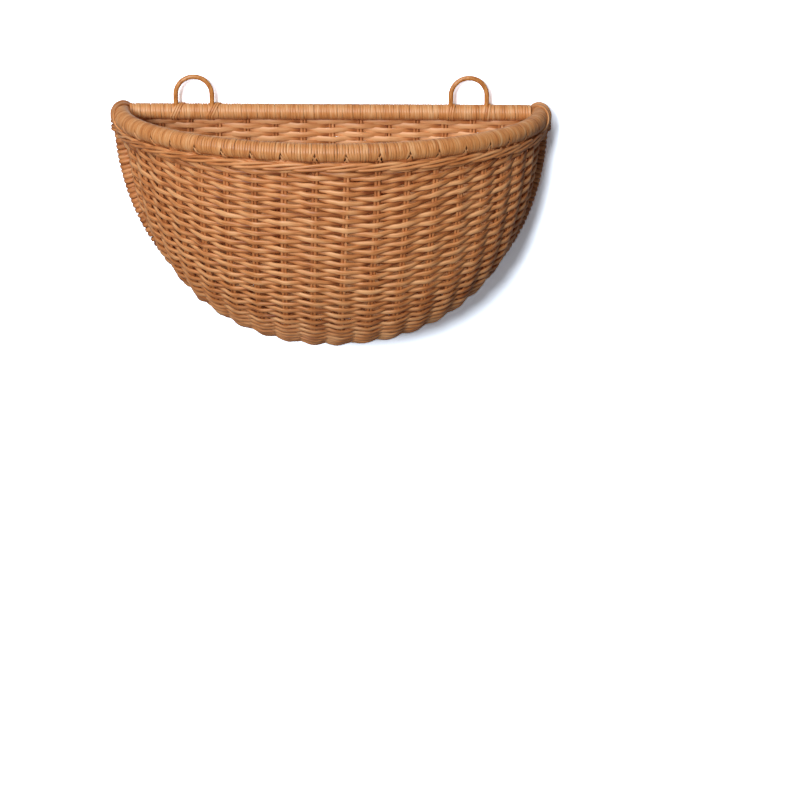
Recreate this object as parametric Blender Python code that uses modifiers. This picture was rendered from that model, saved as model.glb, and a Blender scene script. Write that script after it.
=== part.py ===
"""Half-round wall basket of woven rattan, which hangs on two nails by its rings.

Metres, +Z up. The wall is the plane y = 0, and the basket hangs in front of it, towards -Y.
The origin is in the middle of the flat woven back, on the wall.
"""

import math

import bmesh
import bpy
from mathutils import Vector

# Bowl: sizes of the middle of the woven wall, a quarter of an egg shape that is flat at the back.
RIM_HALF_WIDTH = 0.1785
RIM_REACH = 0.150
BOWL_HEIGHT = 0.191
SIDE_HOOP_DROP = 0.110
RIM_RISE = 0.0965

# How full an oval is: 2 is an ellipse, more is squarer. The front's oval runs from the rim down
# and in to the lower hoop, the hoops' from one end of the rim under the basket to the other.
FRONT_FULLNESS_SHARE = 2.9
HOOP_FULLNESS_SHARE = 2.12

# Rim and rail: rattan poles closely bound with flat peel.
RIM_RADIUS = 0.00775
RAIL_RADIUS = 0.0069
PEEL_THICKNESS = 0.0012
WALL_GAP = 0.0008

# Woven wall: weavers pass in front of and behind pairs of stakes, and cross halfway between.
WEAVE_THICKNESS = 0.0066
WEAVER_THICKNESS = 0.0025
STAKE_DIAMETER = 0.0026
STAKE_PAIR_WIDTH = 0.0053
STAKE_WAIST = 0.0013
STAKE_EDGE = 0.0009
FRONT_STAKE_PITCH = 0.0252
BACK_STAKE_PITCH = 0.0242
CHANNEL_BANK = 0.0003
WEAVE_EDGE_GAP = 0.0006

# Wale: three strands laid one under another below the rim.
WALE_STRAND_DIAMETER = 0.0026
WALE_STRANDS = 3

# Hoops: rods round the flat back, on which the rows of weaving end.
HOOP_RADIUS = 0.00475
HOOP_WALL_GAP = 0.00025
HOOP_END_GAP = 0.0010

# Hanging rings: bare round cane, with both legs bound in at the rail's upper front.
RING_CANE_RADIUS = 0.0021
RING_HALF_WIDTH = 0.0153
RING_INSET = 0.0616
RING_RISE = 0.0282
RING_FORWARD = 0.0034
RING_LEG_END = 0.0010

# Corner lashings: peel wound round each end of the rim, where the rail meets it.
LASHING_DIAMETER = 0.0020
LASHING_PITCH = 0.0025
LASHING_TURNS = 3

# Gaps and overruns.
FIT_GAP = 0.0003
CUT_OVERRUN = 0.002

# Counts of straight stretches that stand for curves.
BOWL_ROWS = 10
RIM_STEPS = 32
HOOP_STEPS = 10
LOWER_HOOP_STEPS = 16
RING_STEPS = 10
LOOP_STEPS = 24
BACK_EDGE_STEPS = 9

TUBE_RESOLUTION = 3
ROD_RESOLUTION = 2
FINE_RESOLUTION = 1
SHARP_ANGLE = math.radians(50)

# Where the rows of weaving turn from the side hoops to the lower hoop, as a share of the
# turn that the rim's ends leave to the wall.
CORNER_INSET_SHARE = 1.4

QUARTER_TURN = math.pi / 2
HOOP_Y = -(HOOP_RADIUS + HOOP_WALL_GAP)
RAIL_Y = -(RAIL_RADIUS + WALL_GAP)
RING_Y = RAIL_Y - RING_FORWARD
RIM_Z = RIM_RISE
LASHING_REACH = RIM_RADIUS + 2 * FIT_GAP + LASHING_DIAMETER
WEAVE_EDGE_Y = HOOP_Y - HOOP_RADIUS - WEAVE_EDGE_GAP
CHANNEL_WIDTH = STAKE_PAIR_WIDTH + 2 * FIT_GAP

SIDE_DROP_SHARE = SIDE_HOOP_DROP / BOWL_HEIGHT


def clear_scene():
    for found in list(bpy.data.objects):
        bpy.data.objects.remove(found, do_unlink=True)


def make_collection(name, hidden):
    made = bpy.data.collections.new(name)
    made.hide_render = hidden
    bpy.context.scene.collection.children.link(made)
    return made


def linear(part):
    """One channel of an sRGB colour as linear light."""
    return part / 12.92 if part <= 0.04045 else ((part + 0.055) / 1.055) ** 2.4


def give_material(piece, name, colour, roughness):
    """A Principled material of the piece's own, from an sRGB hex colour."""
    made = bpy.data.materials.new(name)
    made.use_nodes = True
    shader = made.node_tree.nodes["Principled BSDF"]
    channels = [linear(int(colour[i : i + 2], 16) / 255) for i in (1, 3, 5)]
    shader.inputs["Base Color"].default_value = (*channels, 1)
    shader.inputs["Roughness"].default_value = roughness
    shader.inputs["Metallic"].default_value = 0
    made.diffuse_color = (*channels, 1)
    piece.data.materials.clear()
    piece.data.materials.append(made)


def shade_round(mesh):
    mesh.shade_smooth()
    mesh.set_sharp_from_angle(angle=SHARP_ANGLE)


def tube(name, points, radius, resolution, where, capped=True):
    """A rod that follows the points: a polyline curve with a round bevel."""
    curve = bpy.data.curves.new(name, "CURVE")
    curve.dimensions = "3D"
    curve.bevel_depth = radius
    curve.bevel_resolution = resolution
    curve.use_fill_caps = capped
    line = curve.splines.new("POLY")
    line.points.add(len(points) - 1)
    for spot, place in zip(line.points, points):
        spot.co = (*place, 1)
    piece = bpy.data.objects.new(name, curve)
    where.objects.link(piece)
    return piece


def as_mesh(piece):
    """The curve object remade as a mesh object, with its caps joined to its sides."""
    bpy.context.view_layer.update()
    graph = bpy.context.evaluated_depsgraph_get()
    mesh = bpy.data.meshes.new_from_object(piece.evaluated_get(graph))
    work = bmesh.new()
    work.from_mesh(mesh)
    bmesh.ops.remove_doubles(work, verts=work.verts, dist=FIT_GAP / 30)
    work.to_mesh(mesh)
    work.free()
    name = piece.name
    place = piece.matrix_world.copy()
    homes = list(piece.users_collection)
    bpy.data.objects.remove(piece, do_unlink=True)
    made = bpy.data.objects.new(name, mesh)
    made.matrix_world = place
    for home in homes:
        home.objects.link(made)
    return made


def sleeve(name, points, radius, wall, where):
    """A close binding as a tube with a bore: an open tube whose wall grows inwards."""
    made = as_mesh(tube(name, points, radius, TUBE_RESOLUTION, where, capped=False))
    solid = made.modifiers.new("wall", "SOLIDIFY")
    solid.thickness = wall
    solid.offset = -1
    return made


def sheet(name, columns, rows, spot, thickness, offset, where):
    """A grid moved to its place, with a wall that is thinner where the spot's second value says."""
    work = bmesh.new()
    bmesh.ops.create_grid(work, x_segments=columns - 1, y_segments=rows - 1, size=1)
    mesh = bpy.data.meshes.new(name)
    work.to_mesh(mesh)
    work.free()
    made = bpy.data.objects.new(name, mesh)
    where.objects.link(made)
    group = made.vertex_groups.new(name="wall")
    for corner in mesh.vertices:
        column = round((corner.co.x + 1) / 2 * (columns - 1))
        row = round((1 - corner.co.y) / 2 * (rows - 1))
        place, share = spot(column, row)
        corner.co = place
        group.add([corner.index], share, "REPLACE")
    solid = made.modifiers.new("wall", "SOLIDIFY")
    solid.thickness = thickness
    solid.offset = offset
    solid.vertex_group = "wall"
    shade_round(mesh)
    return made


def shell(name, columns, rows, spots, where):
    """A closed wall between an inner and an outer grid, whose places the spots give.

    Columns run from left to right as seen from outside, and rows from top to bottom.
    """
    work = bmesh.new()
    places = [[spots(column, row) for column in range(columns)] for row in range(rows)]
    inner = [[work.verts.new(pair[0]) for pair in line] for line in places]
    outer = [[work.verts.new(pair[1]) for pair in line] for line in places]
    strips = [*zip(outer[1:], outer), *zip(inner, inner[1:])]
    strips += [(outer[0], inner[0]), (inner[-1], outer[-1])]
    strips.append(([line[0] for line in inner], [line[0] for line in outer]))
    strips.append(([line[-1] for line in outer], [line[-1] for line in inner]))
    for first, second in strips:
        for i in range(len(first) - 1):
            work.faces.new((first[i], first[i + 1], second[i + 1], second[i]))
    mesh = bpy.data.meshes.new(name)
    work.to_mesh(mesh)
    work.free()
    made = bpy.data.objects.new(name, mesh)
    where.objects.link(made)
    shade_round(mesh)
    return made


def cut(piece, cutter):
    cutter.hide_render = True
    cutter.display_type = "WIRE"
    change = piece.modifiers.new(cutter.name, "BOOLEAN")
    change.operation = "DIFFERENCE"
    change.solver = "EXACT"
    change.object = cutter


def oval(turn, power):
    """Where a unit oval of this power lies at a turn."""
    size = (abs(math.cos(turn)) ** power + abs(math.sin(turn)) ** power) ** (-1 / power)
    return math.cos(turn) * size, math.sin(turn) * size


def other_share(share, power):
    """How far a unit oval of this power reaches one way, where it reaches the share the other."""
    return (1 - share**power) ** (1 / power)


def turn_for_reach(reach_share):
    """The down turn at which this share of the reach is left."""
    return math.atan2(other_share(reach_share, FRONT_FULLNESS_SHARE), reach_share)


# The lower hoop's half width as a share of the rim's: both lie on the same half oval.
HOOP_SHARE = other_share(SIDE_DROP_SHARE, HOOP_FULLNESS_SHARE)


def stake_depth(across):
    """How far below the rim the wall ends, at an across turn: there it meets the hoops."""
    aside = HOOP_SHARE * abs(math.sin(across))
    return BOWL_HEIGHT * other_share(aside, HOOP_FULLNESS_SHARE)


def bowl_place(across, down):
    """A point of the bowl's middle surface.

    across turns from -90 degrees at the left hoop to 90 at the right one, and stakes keep theirs.
    down turns from 0 at the rim to 90 degrees at the lower hoop.
    """
    reach_share, depth_share = oval(down, FRONT_FULLNESS_SHARE)
    narrowing = other_share(SIDE_DROP_SHARE * abs(depth_share), HOOP_FULLNESS_SHARE)
    return Vector(
        (
            RIM_HALF_WIDTH * math.sin(across) * narrowing,
            RAIL_Y - RIM_REACH * math.cos(across) * reach_share,
            RIM_Z - stake_depth(across) * depth_share,
        )
    )


def bowl_outwards(across, down):
    """The outward direction of the middle surface, from two short steps along it."""
    step = STAKE_STEP / 100
    sideways = bowl_place(across + step, down) - bowl_place(across - step, down)
    downwards = bowl_place(across, down + step) - bowl_place(across, down - step)
    return downwards.cross(sideways).normalized()


def across_at_edge(down):
    """The across turn at which the wall reaches the hoops, at this down turn."""
    reach_share, _ = oval(down, FRONT_FULLNESS_SHARE)
    return math.acos(EDGE_SHARE / reach_share)


def down_at_edge(across):
    """The down turn at which the wall reaches the hoops, at this across turn."""
    return turn_for_reach(EDGE_SHARE / math.cos(across))


def turn_below_rim(across, drop):
    """The down turn at which the wall is this far below the rim's centreline."""
    depth_share = drop / stake_depth(across)
    return math.atan2(depth_share, other_share(depth_share, FRONT_FULLNESS_SHARE))


WALL_TOP_DROP = RIM_RADIUS + FIT_GAP
STAKE_STEP = FRONT_STAKE_PITCH / RIM_HALF_WIDTH
EDGE_SHARE = (RAIL_Y - WEAVE_EDGE_Y) / RIM_REACH
CORNER_ACROSS = QUARTER_TURN - math.asin(EDGE_SHARE) * (1 + CORNER_INSET_SHARE)
CORNER_DOWN = down_at_edge(CORNER_ACROSS)
FRONT_STAKES_EACH_SIDE = int((CORNER_ACROSS - STAKE_STEP / 2) / STAKE_STEP + 1 / 2)


def wall_turns(share, row):
    """The two turns of a spot in the front wall.

    share runs from -1 at the left edge to 1 at the right one, row from 0 at the rim to
    BOWL_ROWS at the lower hoop.
    """
    fall_share = row / BOWL_ROWS
    top = turn_below_rim(QUARTER_TURN, WALL_TOP_DROP)
    side = top + fall_share * (CORNER_DOWN - top)
    across = share * across_at_edge(side)
    top = turn_below_rim(across, WALL_TOP_DROP)
    return across, top + fall_share * (down_at_edge(share * CORNER_ACROSS) - top)


def wall_spot(share, row, aside, outwards):
    """A spot of the front wall, moved aside along its row and outwards from its middle."""
    across, down = wall_turns(share, row)
    place = bowl_place(across, down)
    if aside:
        step = STAKE_STEP / 100
        way = bowl_place(across + step, down) - bowl_place(across - step, down)
        place = place + way.normalized() * aside
    return place + bowl_outwards(across, down) * outwards


def front_stake_shares():
    """Where the front stakes stand across the wall, from left to right."""
    edge = across_at_edge(0)
    half = [(i + 1 / 2) * STAKE_STEP / edge for i in range(FRONT_STAKES_EACH_SIDE)]
    return [-share for share in reversed(half)] + half


def back_stake_places():
    """Where the back stakes stand along X, from left to right."""
    room = RIM_HALF_WIDTH - LASHING_REACH - CHANNEL_WIDTH
    each_side = int(room / BACK_STAKE_PITCH)
    return [i * BACK_STAKE_PITCH for i in range(-each_side, each_side + 1)]


# How far outwards of the wall's middle its inner and its outer face lie: beside a stake, where
# weavers pass on both sides, behind the stake itself, and halfway between two stakes.
BESIDE_STAKE = (-WEAVE_THICKNESS / 2, WEAVE_THICKNESS / 2)
BEHIND_STAKE = (-WEAVE_THICKNESS / 2, -STAKE_DIAMETER / 2 - FIT_GAP)
AT_CROSSING = (-WEAVER_THICKNESS / 2, WEAVER_THICKNESS / 2)


def channel_columns(stations):
    """Grid columns round each stake: station, distance aside and where the faces lie."""
    bank = CHANNEL_WIDTH / 2 + CHANNEL_BANK
    found = []
    for i, station in enumerate(stations):
        if i:
            found.append(((stations[i - 1] + station) / 2, 0, AT_CROSSING))
        found.append((station, -bank, BESIDE_STAKE))
        found.append((station, -CHANNEL_WIDTH / 2, BEHIND_STAKE))
        found.append((station, CHANNEL_WIDTH / 2, BEHIND_STAKE))
        found.append((station, bank, BESIDE_STAKE))
    return found


def front_weave(where):
    """The woven front: open at the top and the back, ribbed by the weavers' swing at each pair."""
    columns = channel_columns(front_stake_shares())
    columns = [(-1, 0, BESIDE_STAKE), *columns, (1, 0, BESIDE_STAKE)]

    def spots(column, row):
        share, aside, faces = columns[column]
        return [wall_spot(share, row, aside, outwards) for outwards in faces]

    made = shell("front_weave", len(columns), BOWL_ROWS + 1, spots, where)
    give_material(made, "woven rattan core", "#C28A57", 0.55)


def stake_pair(name, rows, middle, where):
    """Two rods side by side, as one strip that is thick at each rod and thin between them."""
    half = STAKE_PAIR_WIDTH / 2
    rod = half - STAKE_DIAMETER / 2
    profile = [
        (-half, STAKE_EDGE),
        (-rod, STAKE_DIAMETER),
        (0, STAKE_WAIST),
        (rod, STAKE_DIAMETER),
        (half, STAKE_EDGE),
    ]

    def spot(column, row):
        aside, thick = profile[column]
        return middle(row, aside), thick / STAKE_DIAMETER

    made = sheet(name, len(profile), rows, spot, STAKE_DIAMETER, 0, where)
    give_material(made, "rattan stake", "#B87C48", 0.5)


def front_stakes(where):
    for i, share in enumerate(front_stake_shares()):

        def middle(row, aside, share=share):
            return wall_spot(share, row, aside, 0)

        stake_pair(f"front_stake_pair_{i + 1:02}", BOWL_ROWS + 1, middle, where)


def hoop_place(turn):
    """A point of the hoops' centreline: 0 at the bottom, 90 degrees at the rim's ends."""
    depth_share, aside_share = oval(turn, HOOP_FULLNESS_SHARE)
    x = RIM_HALF_WIDTH * aside_share
    return Vector((x, HOOP_Y, RIM_Z - BOWL_HEIGHT * depth_share))


def hoop_turn_below(drop):
    """The turn at which the hoops are this far below the rim's centreline."""
    share = drop / BOWL_HEIGHT
    return math.atan2(other_share(share, HOOP_FULLNESS_SHARE), share)


def back_foot(x):
    """The height at which the back panel ends on the hoops, above a place along X."""
    inset = HOOP_RADIUS + FIT_GAP
    half_width = RIM_HALF_WIDTH - inset
    height = BOWL_HEIGHT - inset
    lowest_top = RIM_Z - LASHING_REACH - FIT_GAP
    aside_share = min(1, abs(x) / half_width)
    foot = RIM_Z - height * other_share(aside_share, HOOP_FULLNESS_SHARE)
    return min(foot, lowest_top)


def back_head(x):
    """The height of the back panel's top edge, which drops at the corners below the lashings."""
    head = RIM_Z - RAIL_RADIUS - FIT_GAP
    clear = RIM_HALF_WIDTH - LASHING_REACH - FIT_GAP
    return head if abs(x) <= clear else head - (abs(x) - clear)


def back_weave(where):
    """The flat woven back: its ribs lie on the wall, and those in front have the channels."""
    stakes = back_stake_places()
    last = stakes[-1] + CHANNEL_WIDTH / 2 + CHANNEL_BANK
    edge = RIM_HALF_WIDTH - HOOP_RADIUS - FIT_GAP
    end_turn = math.acos((LASHING_REACH + HOOP_RADIUS) / (BOWL_HEIGHT - HOOP_RADIUS))
    start_turn = math.asin(last / edge)
    sides = []
    for i in range(1, BACK_EDGE_STEPS + 1):
        turn = start_turn + (end_turn - start_turn) * i / BACK_EDGE_STEPS
        sides.append(edge * math.sin(turn))
    columns = [(-x, 0, BESIDE_STAKE) for x in reversed(sides)]
    columns += channel_columns(stakes)
    columns += [(x, 0, BESIDE_STAKE) for x in sides]

    def spots(column, row):
        station, aside, faces = columns[column]
        x = station + aside
        z = back_foot(x) if row else back_head(x)
        return [Vector((x, -WEAVE_THICKNESS / 2 - outwards, z)) for outwards in faces]

    made = shell("back_weave", len(columns), 2, spots, where)
    give_material(made, "woven rattan core, back", "#BC8552", 0.55)


def back_stakes(where):
    for i, x in enumerate(back_stake_places()):

        def middle(row, aside, x=x):
            z = back_foot(abs(x) + STAKE_PAIR_WIDTH / 2) if row else back_head(x)
            return Vector((x + aside, -WEAVE_THICKNESS / 2, z))

        stake_pair(f"back_stake_pair_{i + 1:02}", 2, middle, where)


def rim_path():
    """The rim's centreline: half an ellipse whose ends run straight back to the wall."""
    points = [Vector((-RIM_HALF_WIDTH, -WALL_GAP, RIM_Z))]
    for i in range(RIM_STEPS + 1):
        turn = -QUARTER_TURN + 2 * QUARTER_TURN * i / RIM_STEPS
        points.append(bowl_place(turn, 0))
    points.append(Vector((RIM_HALF_WIDTH, -WALL_GAP, RIM_Z)))
    return points


def rim(where):
    pole_radius = RIM_RADIUS - PEEL_THICKNESS - FIT_GAP
    pole = tube("rim_pole", rim_path(), pole_radius, TUBE_RESOLUTION, where)
    give_material(pole, "rattan pole", "#C89868", 0.5)
    binding = sleeve("rim_binding", rim_path(), RIM_RADIUS, PEEL_THICKNESS, where)
    give_material(binding, "rattan peel binding", "#C68A55", 0.42)
    shade_round(binding.data)


def ring_legs(side):
    """X of a ring's two legs."""
    middle = side * (RIM_HALF_WIDTH - RING_INSET)
    return middle - RING_HALF_WIDTH, middle + RING_HALF_WIDTH


def rail(where, cutters):
    """The straight pole and its binding, both cut for the rings' legs."""
    end = RIM_HALF_WIDTH - LASHING_REACH
    points = [Vector((-end, RAIL_Y, RIM_Z)), Vector((end, RAIL_Y, RIM_Z))]
    pole_radius = RAIL_RADIUS - PEEL_THICKNESS - FIT_GAP
    pole = as_mesh(tube("rail_pole", points, pole_radius, TUBE_RESOLUTION, where))
    give_material(pole, "rattan rail pole", "#C89868", 0.5)
    binding = sleeve("rail_binding", points, RAIL_RADIUS, PEEL_THICKNESS, where)
    give_material(binding, "rattan rail binding", "#C98F5B", 0.42)
    foot = RIM_Z - RING_LEG_END - FIT_GAP
    head = RIM_Z + RAIL_RADIUS + CUT_OVERRUN
    for side, name in ((-1, "left"), (1, "right")):
        for i, x in enumerate(ring_legs(side)):
            run = [Vector((x, RING_Y, foot)), Vector((x, RING_Y, head))]
            radius = RING_CANE_RADIUS + FIT_GAP
            hole = as_mesh(
                tube(f"{name}_leg_hole_{i + 1}", run, radius, ROD_RESOLUTION, cutters)
            )
            cut(pole, hole)
            cut(binding, hole)
    shade_round(pole.data)
    shade_round(binding.data)


def hanging_rings(where):
    """Two horseshoes of cane, which rest on the nails at the rise above the rim."""
    bend = RIM_Z + RING_RISE + RING_CANE_RADIUS - RING_HALF_WIDTH
    for side, name in ((-1, "left"), (1, "right")):
        left, right = ring_legs(side)
        middle = (left + right) / 2
        points = [Vector((left, RING_Y, RIM_Z - RING_LEG_END))]
        for i in range(RING_STEPS + 1):
            turn = math.pi * (1 - i / RING_STEPS)
            x = middle + RING_HALF_WIDTH * math.cos(turn)
            z = bend + RING_HALF_WIDTH * math.sin(turn)
            points.append(Vector((x, RING_Y, z)))
        points.append(Vector((right, RING_Y, RIM_Z - RING_LEG_END)))
        ring = tube(f"hanging_ring_{name}", points, RING_CANE_RADIUS, ROD_RESOLUTION, where)
        give_material(ring, f"bare cane, {name} ring", "#BF7E45", 0.4)


def hoops(where):
    """The side hoops and the lower hoop, which meet end to end below the basket's sides."""
    kink = hoop_turn_below(SIDE_HOOP_DROP)
    part = HOOP_END_GAP / RIM_HALF_WIDTH
    head = hoop_turn_below(LASHING_REACH)
    for side, name in ((-1, "left"), (1, "right")):
        points = []
        for i in range(HOOP_STEPS + 1):
            turn = kink + part + (head - kink - part) * i / HOOP_STEPS
            points.append(hoop_place(side * turn))
        made = tube(f"side_hoop_{name}", points, HOOP_RADIUS, ROD_RESOLUTION, where)
        give_material(made, f"rattan side hoop, {name}", "#B57A47", 0.5)
    points = []
    for i in range(LOWER_HOOP_STEPS + 1):
        points.append(hoop_place(-kink + 2 * kink * i / LOWER_HOOP_STEPS))
    made = tube("lower_hoop", points, HOOP_RADIUS, ROD_RESOLUTION, where)
    give_material(made, "rattan lower hoop", "#B57A47", 0.5)


def wale(where):
    """Strands along the outside of the front weave, close under the rim."""
    radius = WALE_STRAND_DIAMETER / 2
    outwards = WEAVE_THICKNESS / 2 + FIT_GAP + radius
    clear = RIM_RADIUS + FIT_GAP + radius
    first = math.sqrt(clear**2 - outwards**2)
    end = across_at_edge(0) - (FIT_GAP + radius) / RIM_REACH
    for strand in range(WALE_STRANDS):
        drop = first + strand * (WALE_STRAND_DIAMETER + FIT_GAP)
        points = []
        for i in range(RIM_STEPS + 1):
            across = -end + 2 * end * i / RIM_STEPS
            down = turn_below_rim(across, drop)
            points.append(bowl_place(across, down) + bowl_outwards(across, down) * outwards)
        made = tube(f"wale_strand_{strand + 1}", points, radius, FINE_RESOLUTION, where)
        give_material(made, f"rattan wale strand {strand + 1}", "#BE8450", 0.5)


def lashing_path(side):
    """A helix round the rim's end, with a straight tail of one diameter at each end."""
    radius = RIM_RADIUS + FIT_GAP + LASHING_DIAMETER / 2
    first_y = -(FIT_GAP + LASHING_DIAMETER / 2)
    points = []
    for i in range(LASHING_TURNS * LOOP_STEPS + 1):
        turn = 2 * math.pi * i / LOOP_STEPS
        x = side * (RIM_HALF_WIDTH + radius * math.sin(turn))
        y = first_y - LASHING_PITCH * i / LOOP_STEPS
        z = RIM_Z + radius * math.cos(turn)
        points.append(Vector((x, y, z)))
    head = (points[0] - points[1]).normalized() * LASHING_DIAMETER
    tail = (points[-1] - points[-2]).normalized() * LASHING_DIAMETER
    return [points[0] + head, *points, points[-1] + tail]


def least_gap(points, diameter):
    """The least gap between stretches of a strand that are half a loop or more apart."""
    apart = LOOP_STEPS // 2
    return min(
        (a - b).length - diameter
        for i, a in enumerate(points)
        for b in points[i + apart :]
    )


def corner_lashings(where):
    for side, name in ((-1, "left"), (1, "right")):
        points = lashing_path(side)
        gap = least_gap(points, LASHING_DIAMETER)
        print(f"corner_lashing_{name}: least gap to itself {gap * 1000:.2f} mm")
        made = tube(
            f"corner_lashing_{name}",
            points,
            LASHING_DIAMETER / 2,
            FINE_RESOLUTION,
            where,
        )
        give_material(made, f"rattan peel lashing, {name}", "#CC9664", 0.42)


def main():
    clear_scene()
    parts = make_collection("wall_basket", hidden=False)
    cutters = make_collection("cutters", hidden=True)
    front_weave(parts)
    front_stakes(parts)
    back_weave(parts)
    back_stakes(parts)
    rim(parts)
    rail(parts, cutters)
    hoops(parts)
    wale(parts)
    hanging_rings(parts)
    corner_lashings(parts)


main()
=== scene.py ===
"""Half-round wall basket: its strands, bindings and finishes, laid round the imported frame.

Metres, +Z up. The wall is the plane y = 0, and the basket hangs in front of it, towards -Y.
Every strand is swept along a path of its own: a weaver along its row, a peel round its pole.
"""

import math

import bpy
import numpy as np
from bpy.props import FloatProperty, FloatVectorProperty, IntProperty, PointerProperty
from bpy.types import Operator, Panel, PropertyGroup
from mathutils import Euler, Matrix


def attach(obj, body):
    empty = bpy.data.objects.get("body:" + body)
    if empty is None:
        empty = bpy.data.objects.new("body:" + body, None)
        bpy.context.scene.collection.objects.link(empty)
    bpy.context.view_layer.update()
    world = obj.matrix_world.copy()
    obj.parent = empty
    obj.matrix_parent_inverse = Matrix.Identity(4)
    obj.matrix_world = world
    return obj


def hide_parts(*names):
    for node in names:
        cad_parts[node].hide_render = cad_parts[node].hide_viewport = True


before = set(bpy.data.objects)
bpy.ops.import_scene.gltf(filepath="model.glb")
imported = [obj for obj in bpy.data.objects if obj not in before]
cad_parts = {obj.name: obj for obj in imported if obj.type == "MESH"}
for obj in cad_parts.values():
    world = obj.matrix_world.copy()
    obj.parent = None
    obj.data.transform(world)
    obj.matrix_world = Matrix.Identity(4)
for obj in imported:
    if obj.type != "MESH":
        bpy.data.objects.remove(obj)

bl_info = {
    "name": "Woven wall basket",
    "version": (1, 0, 0),
    "blender": (4, 5, 0),
    "location": "View3D > Sidebar > Basket",
    "description": "Weaves a half-round wall basket round its packed frame",
    "category": "Object",
}

# The woven wall's middle surface and the poles, where the frame has them.
RIM_HALF_WIDTH = 0.1785
RIM_REACH = 0.150
BOWL_HEIGHT = 0.191
SIDE_HOOP_DROP = 0.110
FRONT_FULLNESS = 2.9
HOOP_FULLNESS = 2.12
RIM_Z = 0.0965
RIM_RADIUS = 0.00775
RAIL_RADIUS = 0.0069
RAIL_Y = -0.0077
WALL_GAP = 0.0008
HOOP_RADIUS = 0.00475
HOOP_Y = -0.005
LASHING_REACH = 0.01035
WEAVE_EDGE_Y = -0.01035
CORNER_INSET_SHARE = 1.4
FIT_GAP = 0.0003
RING_CANE_RADIUS = 0.0021
RING_HALF_WIDTH = 0.0153
RING_INSET = 0.0616
RING_RISE = 0.0282
RING_Y = -0.0111
WALL_THICKNESS = 0.0066
STAKE_STEP = 0.0252 / RIM_HALF_WIDTH
FRONT_STAKES = 20
BACK_STAKE_PITCH = 0.0242
BACK_STAKES = 13
EDGE_SHARE = (RAIL_Y - WEAVE_EDGE_Y) / RIM_REACH
WALL_TOP_DROP = RIM_RADIUS + FIT_GAP
SIDE_DROP_SHARE = SIDE_HOOP_DROP / BOWL_HEIGHT
QUARTER_TURN = math.pi / 2
CORNER_ACROSS = QUARTER_TURN - math.asin(EDGE_SHARE) * (1 + CORNER_INSET_SHARE)

# What the hand leaves: the right side hangs fuller, the stakes sway to the left on their way
# down, the rows sag a little right of the middle, and the wall is drawn in where it meets the
# hoops, most at the left, so that their wraps stand proud of it.
RIGHT_FULLNESS = 0.14
STAKE_SWAY = 0.028
ROW_SAG = 0.0027
ROW_SAG_REACH = 0.035
ROW_SAG_DEPTH = 0.04
EDGE_INSET = 0.0078
RIGHT_INSET_SHARE = 0.3
EDGE_RUN = 0.056
INSET_START = 0.010
INSET_FULL = 0.032
HOOP_PROUD = 0.0012

# Where strands lie that have no size in the frame, and how thick they are.
FIRST_ROW_DROP = 0.0095
FIRST_BACK_ROW_GAP = 0.0022
ROW_END_DROP = 0.0145
ROW_WANDER = 0.00028
WALE_DROP = 0.0112
WALE_INNER_LIFT = 0.0016
WALE_SWING = 0.0032
WALE_FRONT_SHARE = 0.67
NOTCH_HALF_WIDTH = 0.0042
NOTCH_SIDE_TURN = math.radians(42)
TIE_STEP = 0.0021
HOOP_ROD_DIAMETER = 0.0086
HOOP_TURN_THICKNESS = 0.0019
LASHING_WIDTH = 0.0024
LASHING_THICKNESS = 0.0019
HOOP_JOINT_GAP = 0.003
WALL_CLEARANCE = 0.0006
WRAP_CLEARANCE = 0.0014

# How a strand's end goes round its hoop, in degrees from sideways towards the front.
WRAP_ANGLES = (70, 46, 22, -2, -26, -50)

# How much of a strand's tone comes from its fibres and from its wider patches.
FIBRE_SHARE = 0.85
PATCH_SHARE = 0.6


def linear(colour):
    """An sRGB hex colour as linear light."""
    parts = [int(colour[i : i + 2], 16) / 255 for i in (1, 3, 5)]
    return tuple(
        part / 12.92 if part <= 0.04045 else ((part + 0.055) / 1.055) ** 2.4
        for part in parts
    )


def size(name, description, default, **more):
    return FloatProperty(
        name=name, description=description, default=default, unit="LENGTH", precision=4, **more
    )


def colour(name, description, default):
    return FloatVectorProperty(
        name=name, description=description, default=linear(default), subtype="COLOR", size=3
    )


class BasketWeave(PropertyGroup):
    row_pitch: size("Row pitch", "From one row to the next down the middle of the front", 0.0038)
    row_tilt: FloatProperty(
        name="Row tilt",
        description="How steeply the rows' planes rise towards the wall",
        default=math.atan(0.3676),
        subtype="ANGLE",
    )
    weaver_thickness: size("Weaver thickness", "Thickness of a weaver", 0.0024)
    weaver_widest: size("Widest weaver", "The widest that a weaver lies", 0.0042)
    weaver_narrowest: size("Narrowest weaver", "The narrowest that a weaver is pressed", 0.0022)
    weave_swing: size("Swing", "How far a weaver swings out round a stake", 0.0024)
    back_row_pitch: size("Back row pitch", "From one row to the next in the flat back", 0.0038)
    back_thickness: size("Back weaver", "Thickness of a flattened weaver in the back", 0.0019)
    back_swing: size("Back swing", "How far a back weaver swings round a stake", 0.0021)
    stake_diameter: size("Stake rod", "Diameter of one rod of a stake pair", 0.0026)
    stake_spread: size("Stake spread", "Between the middles of a pair's two rods", 0.0027)
    wale_diameter: size("Wale strand", "Diameter of a wale strand", 0.0026)
    wale_rise: size("Wale rise", "How far a wale strand climbs either way", 0.0024)


class BasketBinding(PropertyGroup):
    peel_width: size("Peel width", "Width of the peel round rim and rail", 0.0022)
    peel_thickness: size("Peel thickness", "Thickness of the peel", 0.0016)
    hoop_pitch: size("Hoop turn", "From one turn to the next round the hoops", 0.0034)
    notch_opening: size("Notch opening", "How far the rim's turns part at a stake", 0.0024)
    lashing_turns: IntProperty(
        name="Lashing turns", description="Loops of peel round each corner", default=4
    )


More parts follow.
